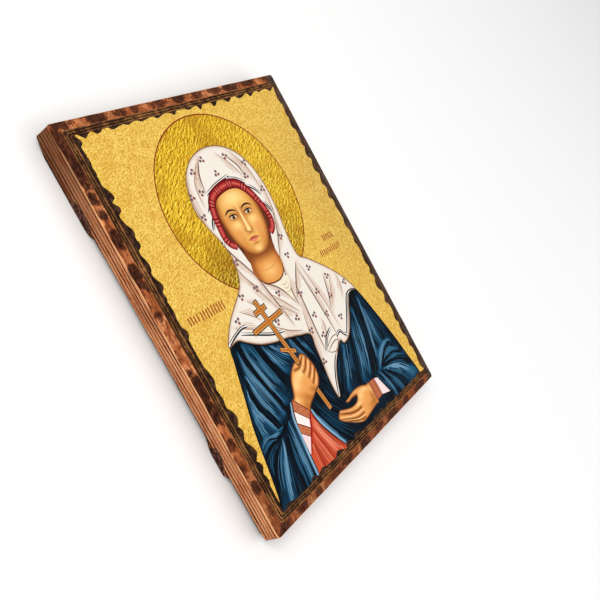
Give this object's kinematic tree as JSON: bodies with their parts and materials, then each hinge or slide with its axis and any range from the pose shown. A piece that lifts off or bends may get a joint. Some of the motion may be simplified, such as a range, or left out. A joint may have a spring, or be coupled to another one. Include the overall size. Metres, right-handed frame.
{
  "type": "icon panel",
  "caption": "Thick hewn pine board with a ragged-edged gilded devotional picture laid on its front, for a wall, shelf or stand.",
  "frame": {"origin": "middle of the board's flat back face, in the middle of its width and height", "axes": "+X to the picture's right, +Y to the top of the picture, +Z out of the picture"},
  "size_m": [0.2634, 0.3218, 0.024],
  "materials": {
    "board": "hewn, burnt and stained pine",
    "picture_sheet": "gold leaf and paint under varnish"
  },
  "bodies": {
    "root": {"board": "board", "picture_sheet": "picture_sheet"}
  },
  "joints": []
}
